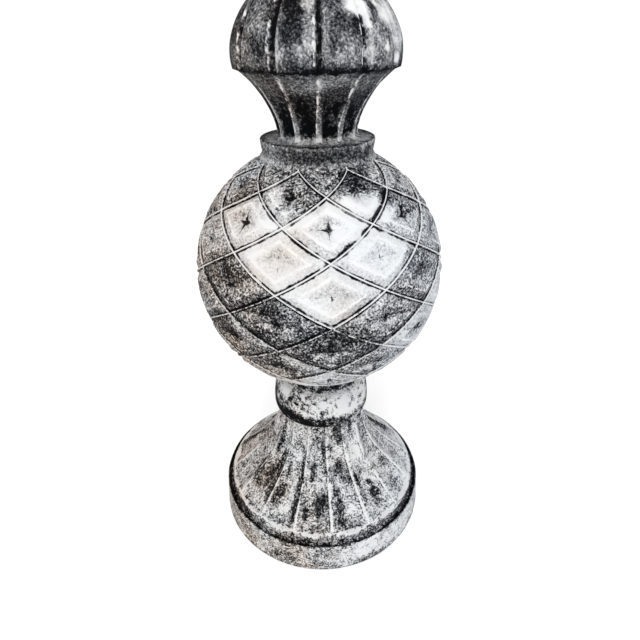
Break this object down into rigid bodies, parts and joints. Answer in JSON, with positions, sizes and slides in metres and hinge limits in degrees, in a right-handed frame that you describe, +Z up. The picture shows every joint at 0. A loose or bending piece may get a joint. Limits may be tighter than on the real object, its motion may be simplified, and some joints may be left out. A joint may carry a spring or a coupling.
{
  "type": "garden finial",
  "caption": "Cast garden finial: round plinth, fluted skirt, roll, ball with a raised diamond lattice, collar, and a pointed lobed bud on a fluted neck.",
  "frame": {"origin": "middle of the flat underside of the plinth", "axes": "+Z up along the axis of the finial, -Y the front, where a crossing of the lattice and a rib of the skirt lie on the centre line"},
  "size_m": [0.2464, 0.2464, 0.6094],
  "materials": {
    "limewashed_cast_stone": "charcoal grey cast stone under a worn, mottled off-white limewash, matt"
  },
  "bodies": {
    "root": {"finial": "limewashed_cast_stone"}
  },
  "joints": []
}
